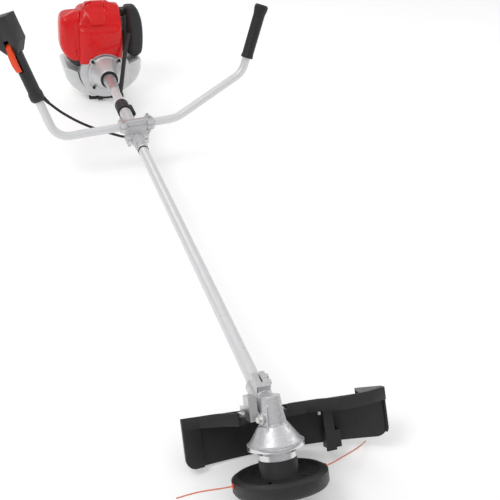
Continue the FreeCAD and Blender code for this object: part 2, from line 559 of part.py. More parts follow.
def covers():
    """Red engine cover, muffler with its cover, and the air cleaner."""
    parts = {}
    outline = [(-80, 33), (-80, 143), (-76, 182), (-60, 206), (-22, 212), (14, 213), (26, 205), (49, 200),
               (57, 156),
               (58.5, 102), (59, 82), (56, 36)]
    shell = prism(outline, COVER_FRONT, COVER_BACK)
    inside = inset_prism(outline, COVER_WALL, COVER_FRONT + COVER_WALL, COVER_BACK - COVER_WALL)
    floor_cut = box(-76.9, 54.9, COVER_FRONT + COVER_WALL, COVER_BACK - COVER_WALL, 20, 40)
    lean = box(-200, 200, -80, 0, -10, 120)
    lean.rotate(V(0, 0, 0), X, -28)
    lean.translate(V(0, COVER_FRONT, 150))
    lugs = [cyl(10, COVER_FRONT - 5, COVER_FRONT + 20, x, BOLT_HALF) for x in (-BOLT_HALF, BOLT_HALF)]
    arch = union(cyl(64, COVER_FRONT - 5, COVER_FRONT + 20), *lugs)
    fan_room = cyl(FAN_R + 1, COVER_FRONT + COVER_WALL, FAN_END + 4)
    case_room = cyl(STARTER_R + 1, STARTER_FRONT - 4, COVER_BACK + 5)
    lean_inner = lean.copy()
    lean_inner.translate(V(0, COVER_WALL + 0.5, -0.5))
    shell = shell.cut(lean).cut(inside.cut(lean_inner)).cut([floor_cut, arch, fan_room, case_room])
    port_room = box(-90, -70, CYLINDER_Y - 16, CYLINDER_Y + 16, 60, 96)
    carb_room = box(40, 80, 1562, 1618, 52, 118)
    parts["engine_cover"] = shell.cut([port_room, carb_room])

    parts["muffler"] = union(box(-118, -86, 1550, 1632, 52, 140, 6),
                             Part.makeCylinder(12, 30, V(-58.01, CYLINDER_Y, 78), V(-1, 0, 0)),
                             Part.makeCylinder(7, 16, V(-104, 1562, 60), V(0, 0, -1)))
    outer = [(-134, 78), (-134, 158), (-122, 177), (-104, 184), (-80.5, 190), (-80.5, 43), (-108, 43),
             (-127, 58)]
    jacket = prism(outer, MUFFLER_FRONT, MUFFLER_BACK)
    pocket = inset_prism(outer, COVER_WALL, MUFFLER_FRONT + COVER_WALL, MUFFLER_BACK - COVER_WALL)
    side_room = box(-90, -70, 1540, 1642, 50, 150)
    tail_room = box(-116, -92, 1550, 1574, 30, 60)
    parts["muffler_cover"] = jacket.cut([pocket, side_room, tail_room])

    outline = [(73, 44), (74, 190), (89, 196), (104, 194), (118, 181), (128, 150), (132, 100), (131, 58),
               (121, 41),
               (108, 34), (92, 34)]
    lid = prism(outline, CLEANER_FRONT, CLEANER_BACK)
    hollow = inset_prism(outline, 2.5, CLEANER_FRONT + 2.5, CLEANER_BACK - 2.5)
    lid = lid.cut([hollow, box(60, 78.01, 1500, 1700, 0, 220)])
    parts["air_cleaner_cover"] = lid
    base = box(68, 77.7, CLEANER_FRONT + 8, CLEANER_BACK - 3, 44, 168, 2)
    base = union(base, box(60.5, 77.7, 1566, 1600, 160, 181, 2))
    base = union(base, box(76, 85, 1556, 1622, 84, 170)).cut(box(80, 86, 1560, 1618, 88, 166))
    inlet = Part.makeCylinder(9, 30, V(60, CYLINDER_Y, 82), X)
    parts["air_cleaner_base"] = base.cut(inlet)
    parts["air_filter"] = box(85.01, 100, 1556, 1622, 84, 170, 3)
    return parts


def fuel_system():
    """Carburettor with its levers and bulb, and the fuel tank with its cap."""
    parts = {}
    mid = CYLINDER_Y
    body = box(39.01, 67.9, mid - 18, mid + 18, 60, 100)
    body = union(body, rod(6, 98, 104, CARB_X, mid)).cut(Part.makeCylinder(8, 60, V(20, mid, 82), X))
    body = body.cut(Part.makeCylinder(6.5, 15.5, V(CARB_X, mid - 24, 72), Y))
    parts["carburettor"] = body.cut(rod(2.55, 84, 110, CARB_X, mid))
    arm = union(rod(2.5, 94, 106, CARB_X, mid), rod(5, 104.4, 107, CARB_X, mid),
                box(CARB_X, CARB_X + 11, mid - 3.5, mid + 3.5, 104.4, 107))
    parts["throttle_arm"] = arm
    bulb = union(Part.makeSphere(6, V(CARB_X, mid - 19, 72)), cyl(6, mid - 19, mid - 16, CARB_X, 72))
    parts["primer_bulb"] = bulb
    outline = [(-125, 4), (-115, 11), (-79, -8), (-46, -16), (46, -16), (79, 12), (112, 27), (121, 24),
               (118, -6),
               (104, -39), (79, -62), (55, -76), (0, -88), (-43, -88), (-79, -72), (-104, -52), (-122, -21)]
    tank = prism(outline, TANK_FRONT, TANK_BACK)
    well = [cyl(FAN_R + 4, TANK_FRONT - 5, FAN_END + 6), cyl(47, FAN_END, TANK_BACK + 5)]
    wall = TANK_WALL
    space = inset_prism(outline, wall, TANK_FRONT + wall, TANK_BACK - wall)
    space = space.cut([cyl(FAN_R + 4 + wall, TANK_FRONT - 5, FAN_END + 6 + wall),
                       cyl(47 + wall, FAN_END, TANK_BACK + 5)])
    starter_well = cyl(STARTER_R + 1, STARTER_FRONT - 3, TANK_BACK + 5)
    space = space.cut(cyl(STARTER_R + 1 + wall, STARTER_FRONT - 3 - wall, TANK_BACK + 5))
    neck = cyl(15, TANK_BACK - 8, TANK_BACK + 6, *CAP_CENTRE)
    tank = union(tank.cut(well).cut(starter_well), neck).cut(space)
    tank = tank.cut(cyl(11, TANK_BACK - 10, TANK_BACK + 8, *CAP_CENTRE))
    parts["fuel_tank"] = tank
    x, z = CAP_CENTRE
    parts["fuel_cap"] = union(tube(20, 15.3, TANK_BACK + 0.4, TANK_BACK + 7, x, z),
                              cyl(20, TANK_BACK + 6.4, TANK_BACK + 15, x, z))
    return parts



def starter():
    """Recoil starter: housing, rope reel and pull handle."""
    parts = {}
    shell = cyl(STARTER_R, STARTER_FRONT, STARTER_BACK)
    shell = shell.cut(cyl(STARTER_R - 3, STARTER_FRONT - 1, STARTER_BACK - 3))
    spigot = tube(STARTER_R - 2, 12, STARTER_FRONT, STARTER_FRONT + 3)
    reel = union(tube(30, 8, 1656, 1659), tube(22, 8, 1656, 1666), tube(30, 8, 1664, 1667))
    stub = cyl(7.95, 1655, 1669.01)
    shell = union(shell, spigot, stub, tube(7, 3, STARTER_BACK - 0.01, STARTER_BACK + 4, *ROPE_EYE))
    shell = shell.cut([cyl(3, STARTER_BACK - 5, STARTER_BACK + 5, *ROPE_EYE), cyl(7.6, 1620, 1653)])
    parts["starter_housing"] = shell.cut(box(-6, 6, STARTER_BACK - 2, STARTER_BACK + 1, -46, -20))
    parts["starter_reel"] = reel
    x, z = ROPE_EYE
    grip = box(x - 24, x + 24, STARTER_BACK + 9, STARTER_BACK + 23, z - 7, z + 7, 5)
    parts["starter_handle"] = union(grip, cyl(5.5, STARTER_BACK + 4.4, STARTER_BACK + 12, x, z))
    return parts


def stand():
    """Black foot bar and rails under the tank, cut flat at the floor by place_all()."""
    bar = Part.makeCylinder(8.8, 112, V(-52, 1552, -97.8), X)
    rails = [box(x - 7, x + 7, 1552, 1678, -112, -89) for x in (-34, 34)]
    lug = union(box(-26, -10, 1528, 1537.9, -98, -84.2), box(-26, -10, 1528, 1550, -98, -89))
    return union(bar, *rails, lug).cut(cyl(FAN_R + 4.2, 1500, 1558.2))


def build():
    """All nodes in the pole frame."""
    parts = pole()
    parts.update(cable_parts())
    case_parts, case_screws = gear_case()
    parts.update(case_parts)
    parts.update(line_head())
    shell, bracket, guard_screws, strap = guard()
    parts["guard"] = head_frame(shell)
    parts["guard_bracket"] = head_frame(bracket)
    parts["line_cutter"] = head_frame(strap)
    lower = [head_frame(shape) for shape in guard_screws]
    bar_parts, bar, clamp_screws = handlebar_parts()
    parts["hexagon_screws"] = group(*case_screws, *lower, *clamp_screws)
    parts.update(bar_parts)
    parts.update(throttle_handle(bar, parts["throttle_cable"]))
    parts.update(clutch())
    parts.update(engine_core(parts["clutch_housing_screws"]))
    parts.update(covers())
    parts.update(fuel_system())
    parts.update(starter())
    parts["stand"] = stand()
    return parts


def place_all(parts):
    """Pitch the machine onto the floor, centre it over the origin and trim the stand flat."""
    turn = FreeCAD.Placement(V(0, 0, 0), FreeCAD.Rotation(X, -REST_PITCH))
    for shape in parts.values():
        shape.Placement = turn.multiply(shape.Placement)
    floor = parts["line_head"].optimalBoundingBox().ZMin
    below = Part.makeBox(400, 4000, 100, V(-200, -1000, floor - 100))
    parts["stand"] = parts["stand"].cut(below)
    boxes = [shape.optimalBoundingBox() for shape in parts.values()]
    shift = V(-(min(b.XMin for b in boxes) + max(b.XMax for b in boxes)) / 2,
              -(min(b.YMin for b in boxes) + max(b.YMax for b in boxes)) / 2, -floor)
    for shape in parts.values():
        shape.Placement = FreeCAD.Placement(shift, FreeCAD.Rotation()).multiply(shape.Placement)
    return FreeCAD.Placement(shift, FreeCAD.Rotation()).multiply(turn)


os.makedirs("parts", exist_ok=True)
nodes = build()
to_row = place_all(nodes)
for name, shape in nodes.items():
    shape.exportStep(os.path.join("parts", name + ".step"))
print(len(nodes), "nodes; placement", to_row.Base, to_row.Rotation.getYawPitchRoll())
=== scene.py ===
import json
import math

import bmesh
import bpy
from mathutils import Matrix, Vector

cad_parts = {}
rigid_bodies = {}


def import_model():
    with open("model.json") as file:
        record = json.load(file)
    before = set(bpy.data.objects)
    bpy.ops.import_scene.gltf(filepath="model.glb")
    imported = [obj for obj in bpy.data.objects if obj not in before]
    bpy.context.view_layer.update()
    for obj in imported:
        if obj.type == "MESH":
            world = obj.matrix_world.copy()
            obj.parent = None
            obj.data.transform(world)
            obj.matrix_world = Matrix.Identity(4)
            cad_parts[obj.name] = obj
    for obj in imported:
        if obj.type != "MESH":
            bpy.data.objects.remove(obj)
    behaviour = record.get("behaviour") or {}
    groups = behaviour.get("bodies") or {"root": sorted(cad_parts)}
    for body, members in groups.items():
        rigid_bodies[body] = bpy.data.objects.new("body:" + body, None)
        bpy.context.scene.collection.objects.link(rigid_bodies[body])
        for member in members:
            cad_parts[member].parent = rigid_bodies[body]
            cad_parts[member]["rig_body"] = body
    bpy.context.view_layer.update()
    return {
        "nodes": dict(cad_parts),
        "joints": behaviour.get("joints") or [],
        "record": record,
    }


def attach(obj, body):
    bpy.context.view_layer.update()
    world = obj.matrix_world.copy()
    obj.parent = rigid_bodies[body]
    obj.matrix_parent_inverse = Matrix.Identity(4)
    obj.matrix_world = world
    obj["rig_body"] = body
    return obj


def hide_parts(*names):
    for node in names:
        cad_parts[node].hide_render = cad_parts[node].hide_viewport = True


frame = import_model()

NODES = frame["nodes"]
JOINTS = {joint["name"]: joint for joint in frame["joints"]}
MM = 0.001
TAU = 2 * math.pi

# ---------------------------------------------------------------- frames
# The pole frame: millimetres, +Y along the drive tube towards the engine, +X to the operator's left, +Z up,
# with its origin where the tube leaves the gear case. It is worked out from the drive shaft's joint.
POLE_AXIS = Vector(JOINTS["drive_spin"]["axis"])
POLE_ORIGIN = Vector(JOINTS["drive_spin"]["pos_m"])
SIDE = Vector((1, 0, 0))
POLE_TURN = Matrix((SIDE, POLE_AXIS, SIDE.cross(POLE_AXIS))).transposed()
POLE = Matrix.Translation(POLE_ORIGIN) @ POLE_TURN.to_4x4() @ Matrix.Scale(MM, 4)

# The head frame: millimetres, its third axis up the output shaft and its second to the rear, with its origin
# where that shaft's axis meets the drive shaft's.
HEAD_AXIS = Vector(JOINTS["head_spin"]["axis"])
HEAD_TURN = Matrix((SIDE, HEAD_AXIS.cross(SIDE), HEAD_AXIS)).transposed()
HEAD = Matrix.Translation(Vector(JOINTS["head_spin"]["pos_m"])) @ HEAD_TURN.to_4x4() @ Matrix.Scale(MM, 4)


def point(place, xyz):
    """A point of a frame, in the row frame in metres."""
    return place @ Vector(xyz)


# ---------------------------------------------------------------- materials
def shader(name, colour, rough, metallic=0.0, **sockets):
    """A material with its Principled node, and the node tree to add to."""
    material = bpy.data.materials.new(name)
    material.use_nodes = True
    tree = material.node_tree
    main = tree.nodes["Principled BSDF"]
    main.inputs["Base Color"].default_value = (*colour, 1)
    main.inputs["Roughness"].default_value = rough
    main.inputs["Metallic"].default_value = metallic
    for socket, value in sockets.items():
        main.inputs[socket.replace("_", " ")].default_value = value
    return material, tree, main


def noise(tree, scale, detail=4.0, stretch=(1, 1, 1), distortion=0.0):
    """A noise in object coordinates, with its cell size set by scale per metre."""
    place = tree.nodes.new("ShaderNodeTexCoord")
    mapping = tree.nodes.new("ShaderNodeMapping")
    mapping.inputs["Scale"].default_value = stretch
    field = tree.nodes.new("ShaderNodeTexNoise")
    field.inputs["Scale"].default_value = scale
    field.inputs["Detail"].default_value = detail
    field.inputs["Distortion"].default_value = distortion
    tree.links.new(place.outputs["Object"], mapping.inputs["Vector"])
    tree.links.new(mapping.outputs["Vector"], field.inputs["Vector"])
    return field.outputs["Fac"]


def cells(tree, scale, randomness=1.0):
    """A Voronoi distance in object coordinates: a pebbled grain."""
    place = tree.nodes.new("ShaderNodeTexCoord")
    field = tree.nodes.new("ShaderNodeTexVoronoi")
    field.inputs["Scale"].default_value = scale
    field.inputs["Randomness"].default_value = randomness
    tree.links.new(place.outputs["Object"], field.inputs["Vector"])
    return field.outputs["Distance"]


def ramp(tree, source, low, high, first, last):
    """Turns a field into a colour between two colours."""
    node = tree.nodes.new("ShaderNodeValToRGB")
    node.color_ramp.elements[0].position = low
    node.color_ramp.elements[0].color = (*first, 1)
    node.color_ramp.elements[1].position = high
    node.color_ramp.elements[1].color = (*last, 1)
    tree.links.new(source, node.inputs["Fac"])
    return node.outputs["Color"]


def span(tree, source, low, high):
    """Turns a field from 0.3..0.7 into a number from low to high."""
    node = tree.nodes.new("ShaderNodeMapRange")
    node.inputs["From Min"].default_value = 0.3
    node.inputs["From Max"].default_value = 0.7
    node.inputs["To Min"].default_value = low
    node.inputs["To Max"].default_value = high
    tree.links.new(source, node.inputs["Value"])
    return node.outputs["Result"]


def relief(tree, main, layers):
    """Chains bumps, each (field, height in metres, strength), into the normal."""
    normal = None
    for field, height, strength in layers:
        bump = tree.nodes.new("ShaderNodeBump")
        bump.inputs["Strength"].default_value = strength
        bump.inputs["Distance"].default_value = height
        tree.links.new(field, bump.inputs["Height"])
        if normal is not None:
            tree.links.new(normal, bump.inputs["Normal"])
        normal = bump.outputs["Normal"]
    tree.links.new(normal, main.inputs["Normal"])


def shade(colour, factor):
    return tuple(min(1.0, channel * factor) for channel in colour)


def moulded(name, colour, rough, grain=1500.0, depth=0.00006, mottle=0.12, coat=0.0):
    """Moulded plastic or rubber: a fine pebbled skin, with faint flow marks and scuffs."""
    material, tree, main = shader(name, colour, rough, Coat_Weight=coat, Coat_Roughness=0.25,
                                  Specular_IOR_Level=0.4)
    flow = noise(tree, 38, 5)
    tint = ramp(tree, flow, 0.3, 0.72, shade(colour, 1 - mottle), shade(colour, 1 + mottle))
    tree.links.new(tint, main.inputs["Base Color"])
    tree.links.new(span(tree, noise(tree, 160, 4), rough - 0.06, rough + 0.08), main.inputs["Roughness"])
    relief(tree, main, [(cells(tree, grain), depth, 0.35), (noise(tree, 210, 3), 0.0001, 0.12)])
    return material


def glossy(name, colour, rough, coat=0.22):
    """Glossy moulded plastic: a faint orange peel, a little haze where hands and dust have been."""
    material, tree, main = shader(name, colour, rough, Coat_Weight=coat, Coat_Roughness=0.06,
                                  Specular_IOR_Level=0.3)
    tint = ramp(tree, noise(tree, 22, 3), 0.32, 0.7, shade(colour, 0.93), shade(colour, 1.05))
    tree.links.new(tint, main.inputs["Base Color"])
    tree.links.new(span(tree, noise(tree, 70, 5), rough - 0.04, rough + 0.07), main.inputs["Roughness"])
    relief(tree, main, [(noise(tree, 120, 2), 0.00025, 0.12), (noise(tree, 900, 2), 0.00003, 0.1)])
    return material


def enamel(name, colour, rough=0.32):
    """Satin paint on tube: fine orange peel and faint handling marks along the tube."""
    material, tree, main = shader(name, colour, rough, metallic=0.15, Coat_Weight=0.25, Coat_Roughness=0.15)
    streaks = noise(tree, 60, 4, stretch=(6, 0.5, 6))
    tint = ramp(tree, streaks, 0.3, 0.7, shade(colour, 0.95), shade(colour, 1.03))
    tree.links.new(tint, main.inputs["Base Color"])
    tree.links.new(span(tree, noise(tree, 90, 4), rough - 0.05, rough + 0.08), main.inputs["Roughness"])
    relief(tree, main, [(noise(tree, 700, 3), 0.00004, 0.15)])
    return material


def cast(name, colour, rough=0.42, metallic=0.85):
    """Die-cast or sand-cast metal: a fine sandy skin with darker pores."""
    material, tree, main = shader(name, colour, rough, metallic=metallic)
    tint = ramp(tree, noise(tree, 420, 5), 0.28, 0.66, shade(colour, 0.82), shade(colour, 1.06))
    tree.links.new(tint, main.inputs["Base Color"])
    tree.links.new(span(tree, noise(tree, 130, 5), rough - 0.08, rough + 0.12), main.inputs["Roughness"])
    relief(tree, main, [(noise(tree, 1300, 4), 0.00012, 0.35), (noise(tree, 110, 3), 0.0003, 0.1)])
    return material


def turned(name, colour, rough, rings=(1, 1, 1), metallic=1.0, marks=0.1):
    """Machined or plated metal: fine tool marks, and a little tarnish."""
    material, tree, main = shader(name, colour, rough, metallic=metallic)
    tint = ramp(tree, noise(tree, 55, 4), 0.3, 0.75, shade(colour, 0.88), shade(colour, 1.05))
    tree.links.new(tint, main.inputs["Base Color"])
    lines = noise(tree, 400, 3, stretch=rings)
    tree.links.new(span(tree, lines, max(0.05, rough - marks), rough + marks), main.inputs["Roughness"])
    relief(tree, main, [(lines, 0.00003, 0.3)])
    return material


def milky(name, colour, rough=0.38):
    """Translucent blow-moulded plastic, lit through from inside its skin."""
    material, tree, main = shader(name, colour, rough, Subsurface_Weight=0.6, Subsurface_Scale=0.012,
                                  Coat_Weight=0.15, Coat_Roughness=0.2)
    main.inputs["Subsurface Radius"].default_value = (1.0, 0.95, 0.85)
    tint = ramp(tree, noise(tree, 30, 4), 0.3, 0.7, shade(colour, 0.94), shade(colour, 1.03))
    tree.links.new(tint, main.inputs["Base Color"])
    relief(tree, main, [(noise(tree, 500, 3), 0.00008, 0.2), (noise(tree, 60, 2), 0.0005, 0.1)])
    return material


def foam(name, colour):
    """Open-cell filter foam: pitted pores, with painted shade darkening the bottom of each pore."""
    material, tree, main = shader(name, colour, 0.9)
    pores = cells(tree, 1100)
    # Painted shade: the colour falls to a quarter of the foam's own at the bottom of each pore, where the
    # bump sinks it.
    tree.links.new(ramp(tree, pores, 0.1, 0.6, shade(colour, 0.25), colour), main.inputs["Base Color"])
    relief(tree, main, [(pores, 0.0005, 0.8)])
    return material


MATERIALS = {
    "tube_paint": enamel("tube_enamel", (0.70, 0.70, 0.71)),
    "sleeve_grey": enamel("sleeve_anodised", (0.56, 0.56, 0.57), 0.36),
    "cast_metal": cast("cast_aluminium", (0.66, 0.66, 0.67)),
    "machined": turned("machined_aluminium", (0.76, 0.76, 0.77), 0.24, rings=(1, 1, 14)),
    "steel": turned("bright_steel", (0.60, 0.60, 0.61), 0.3, rings=(8, 8, 1)),
    "zinc_screws": turned("zinc_plate", (0.72, 0.72, 0.70), 0.27, marks=0.08),
    "black_screws": turned("black_oxide", (0.035, 0.035, 0.038), 0.4, metallic=0.7),
    "red_cover": glossy("red_gloss_plastic", (0.70, 0.004, 0.005), 0.26),
    "trigger_red": glossy("orange_red_plastic", (0.80, 0.07, 0.015), 0.3, coat=0.15),
    "black_plastic": moulded("black_moulded_plastic", (0.022, 0.022, 0.023), 0.45),
    "rubber": moulded("black_rubber", (0.016, 0.016, 0.017), 0.55, grain=2400, depth=0.00004, mottle=0.2),
    "tank_white": milky("milky_tank_plastic", (0.83, 0.84, 0.82)),
    "filter_foam": foam("filter_foam", (0.10, 0.10, 0.09)),
    "muffler_steel": cast("muffler_sheet_steel", (0.30, 0.28, 0.26), 0.5, metallic=0.9),
    "line_nylon": glossy("salmon_nylon", (0.72, 0.22, 0.13), 0.35, coat=0.2),
    "bush_plastic": moulded("bush_plastic", (0.20, 0.17, 0.11), 0.5),
}


def finish_cad_nodes():
    """Gives each CAD node the material of its record slot."""
    for entry in frame["record"]["subparts"]:
        slots = NODES[entry["node"]].data.materials
        slots.clear()
        slots.append(MATERIALS[entry["material_slot"]])
        for face in NODES[entry["node"]].data.polygons:
            face.material_index = 0


# ---------------------------------------------------------------- building tools
def settle(piece, body, slot, *nodes):
    """Rides a finished piece on its body, and hides the CAD nodes it stands for. The slot argument is not
    used.
    """
    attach(piece, body)
    if nodes:
        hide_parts(*nodes)
    return piece


def smooth_step(low, high, value):
    t = min(1.0, max(0.0, (value - low) / (high - low)))
    return t * t * (3 - 2 * t)


def to_object(name, bm, place, *looks, sharp=38):
    """Makes a piece of a bmesh in a frame's millimetres. Edges over sharp degrees stay crisp."""
    bmesh.ops.remove_doubles(bm, verts=bm.verts, dist=0.002)
    bmesh.ops.recalc_face_normals(bm, faces=bm.faces)
    limit = math.radians(sharp)
    for face in bm.faces:
        face.smooth = True
    for edge in bm.edges:
        edge.smooth = len(edge.link_faces) == 2 and edge.calc_face_angle(0) < limit
    mesh = bpy.data.meshes.new(name)
    bm.to_mesh(mesh)
    bm.free()
    mesh.transform(place)
    for look in looks:
        mesh.materials.append(MATERIALS[look])
    piece = bpy.data.objects.new(name, mesh)
    bpy.context.scene.collection.objects.link(piece)
    return piece


def apply_modifiers(piece):
    """Replaces the piece's mesh by what its modifiers make of it."""
    graph = bpy.context.evaluated_depsgraph_get()
    graph.update()
    mesh = bpy.data.meshes.new_from_object(piece.evaluated_get(graph))
    piece.modifiers.clear()
    piece.data = mesh
    return piece


def carve(piece, *cutters):
    """Cuts closed pieces out of a piece, and removes them."""
    for cutter in cutters:
        cut = piece.modifiers.new("cut", "BOOLEAN")
        cut.operation = "DIFFERENCE"
        cut.solver = "EXACT"
        cut.object = cutter
    apply_modifiers(piece)
    for cutter in cutters:
        bpy.data.objects.remove(cutter)
    return piece


def mark_sharp(mesh, degrees):
    bm = bmesh.new()
    bm.from_mesh(mesh)
    limit = math.radians(degrees)
    for face in bm.faces:
        face.smooth = True
    for edge in bm.edges:
        edge.smooth = len(edge.link_faces) == 2 and edge.calc_face_angle(0) < limit
    bm.to_mesh(mesh)
    bm.free()


def ring_faces(bm, rings, closed=True):
    """Quads between rings of equal length, with the first and last ring capped."""
    count = len(rings[0])
    for low, high in zip(rings, rings[1:]):
        for i in range(count):
            k = (i + 1) % count
            if low[i] is low[k] and high[i] is high[k]:
                continue
            corners = [low[i], low[k], high[k], high[i]]
            unique = [v for n, v in enumerate(corners) if v not in corners[:n]]
            if len(unique) > 2:
                bm.faces.new(unique)
    if closed:
        for ring in (rings[0], rings[-1]):
            if len(set(ring)) > 2:
                bm.faces.new(ring)


def lathe(bm, profile, turn=Matrix.Identity(4), segments=96):
    """Turns a profile of (radius, height) points about Z, then moves it. Ends on the axis close it."""
    rings = []
    for radius, height in profile:
        if radius < 1e-6:
            middle = bm.verts.new(turn @ Vector((0, 0, height)))
            rings.append([middle] * segments)
        else:
            rings.append([bm.verts.new(turn @ Vector((radius * math.cos(TAU * i / segments),
                                                      radius * math.sin(TAU * i / segments), height)))
                          for i in range(segments)])
    ring_faces(bm, rings, closed=False)


ALONG_POLE = Matrix.Rotation(-math.pi / 2, 4, "X")


def turned_piece(name, profile, look, place=POLE, turn=ALONG_POLE, segments=96, sharp=30):
    """One turned piece. Its profile's heights run along the drive tube unless turn says otherwise."""
    bm = bmesh.new()
    lathe(bm, profile, turn, segments)
    return to_object(name, bm, place, look, sharp=sharp)


def cylinder_cutter(radius, start, end, x=0.0, z=0.0):
    """A plain cylinder along the drive tube, for carving."""
    return turned_piece("cutter", [(0, start), (radius, start), (radius, end), (0, end)], "steel",
                        turn=Matrix.Translation((x, 0, z)) @ ALONG_POLE)


def box(bm, low, high, bevel=0.0, turn=Matrix.Identity(4), segments=3):
    """A box with rounded edges."""
    made = bmesh.ops.create_cube(bm, size=1.0)["verts"]
    size = Vector(high) - Vector(low)
    middle = (Vector(high) + Vector(low)) / 2
    for vert in made:
        vert.co = Vector(tuple(middle[i] + vert.co[i] * size[i] for i in range(3)))
    faces = set(face for vert in made for face in vert.link_faces)
    if bevel:
        edges = list(set(edge for vert in made for edge in vert.link_edges))
        result = bmesh.ops.bevel(bm, geom=edges, offset=bevel, segments=segments, profile=0.5, affect="EDGES")
        faces = set(result["faces"]) | set(face for face in faces if face.is_valid)
    verts = set(vert for face in faces for vert in face.verts)
    for vert in verts:
        vert.co = turn @ vert.co


def curve_through(points, steps):
    """A smooth line through points, by Catmull-Rom."""
    last = len(points) - 1
    line = []
    for i in range(last):
        a, b, c, d = (points[min(last, max(0, i + k))] for k in (-1, 0, 1, 2))
        for step in range(steps):
            t = step / steps
            line.append(tuple(0.5 * (2 * q + (r - p) * t + (2 * p - 5 * q + 4 * r - s) * t * t
                                     + (3 * q - p - 3 * r + s) * t ** 3) for p, q, r, s in zip(a, b, c, d)))
    line.append(tuple(points[-1]))
    return line


def stack(name, levels, look, shape=None, steps=6, around=120, sharp=50):
    """A moulded shell as a pile of rounded outlines.

    Each level is (height, left, right, front, back, squareness).

    shape(x, y, z, front) moves a point; front is 1 on the front face and 0 elsewhere.
    """
    bm = bmesh.new()
    rings = []
    for height, left, right, front, back, square in curve_through(levels, steps):
        half_x, half_y = (right - left) / 2, (back - front) / 2
        ring = []
        for i in range(around):
            angle = TAU * i / around
            across, along = math.cos(angle) / half_x, math.sin(angle) / half_y
            reach = (abs(across) ** square + abs(along) ** square) ** (-1 / square)
            x = (left + right) / 2 + reach * math.cos(angle)
            y = (front + back) / 2 + reach * math.sin(angle)
            xyz = Vector((x, y, height))
            if shape:
                facing = smooth_step(0.55, 0.9, -reach * math.sin(angle) / half_y)
                xyz = Vector(shape(x, y, height, facing))
            ring.append(bm.verts.new(xyz))
        rings.append(ring)
    ring_faces(bm, rings)
    return to_object(name, bm, POLE, look, sharp=sharp)


def merged_copy(name, node, look):
    """A copy of a CAD node's mesh, with its split vertices joined."""
    bm = bmesh.new()
    bm.from_mesh(NODES[node].data)
    bmesh.ops.remove_doubles(bm, verts=bm.verts, dist=0.000005)
    return to_object_row(name, bm, look)


def to_object_row(name, bm, look, sharp=38):
    for face in bm.faces:
        face.material_index = 0
        face.smooth = True
    limit = math.radians(sharp)
    for edge in bm.edges:
        edge.smooth = len(edge.link_faces) == 2 and edge.calc_face_angle(0) < limit
    mesh = bpy.data.meshes.new(name)
    bm.to_mesh(mesh)
    bm.free()
    mesh.materials.append(MATERIALS[look])
    piece = bpy.data.objects.new(name, mesh)
    bpy.context.scene.collection.objects.link(piece)
    return piece


def cast_copy(node, name, look, voxel=1.1, passes=5):
    """A casting over a CAD node: its edges and inner corners rounded as a foundry leaves them."""
    piece = merged_copy(name, node, look)
    remesh = piece.modifiers.new("remesh", "REMESH")
    remesh.mode = "VOXEL"
    remesh.voxel_size = voxel * MM
    remesh.use_smooth_shade = True
    relax = piece.modifiers.new("relax", "SMOOTH")
    relax.factor = 0.5
    relax.iterations = passes
    apply_modifiers(piece)
    mark_sharp(piece.data, 80)
    if not piece.data.materials:
        piece.data.materials.append(MATERIALS[look])
    return piece


def moulded_copy(node, name, look, width=0.8, segments=2, angle=32):
    """A moulding over a CAD node, with small radii on its edges."""
    piece = merged_copy(name, node, look)
    bm = bmesh.new()
    bm.from_mesh(piece.data)
    bmesh.ops.dissolve_limit(bm, angle_limit=math.radians(1.5), verts=bm.verts, edges=bm.edges)
    bm.to_mesh(piece.data)
    bm.free()
    round_off = piece.modifiers.new("round_off", "BEVEL")
    round_off.width = width * MM
    round_off.segments = segments
    round_off.limit_method = "ANGLE"
    round_off.angle_limit = math.radians(angle)
    round_off.use_clamp_overlap = True
    apply_modifiers(piece)
    mark_sharp(piece.data, 42)
    return piece


# ---------------------------------------------------------------- trimmer line
LINE_R = 1.2
LINE_ROUTES = {
    "line_end_a": ((-67.5, 0, -93), (-80, 0, -93), (-100, 3, -93), (-126, 10, -93), (-150, 9, -93),
                   (-170, 3, -93)),
    "line_end_b": ((67.5, 0, -93), (80, 0, -93), (98, 10, -93), (122, 28, -93), (152, 50, -93),
                   (177, 72, -93), (194, 91, -93)),
}


def line_end(node, route):
    """One free end of the trimmer line: a stiff nylon strand from its eyelet to its cut tip."""
    curve = bpy.data.curves.new(node + "_strand", "CURVE")
    curve.dimensions = "3D"
    curve.bevel_depth = LINE_R * MM
    curve.bevel_resolution = 4
    curve.resolution_u = 10
    curve.use_fill_caps = True
    spline = curve.splines.new("NURBS")
    spline.points.add(len(route) - 1)
    for control, xyz in zip(spline.points, route):
        control.co = (*point(HEAD, xyz), 1)
    spline.order_u = 3
    spline.use_endpoint_u = True
    curve.materials.append(MATERIALS["line_nylon"])
    strand = bpy.data.objects.new(node + "_strand", curve)
    bpy.context.scene.collection.objects.link(strand)
    settle(strand, "cutting_head", "line_nylon", node)


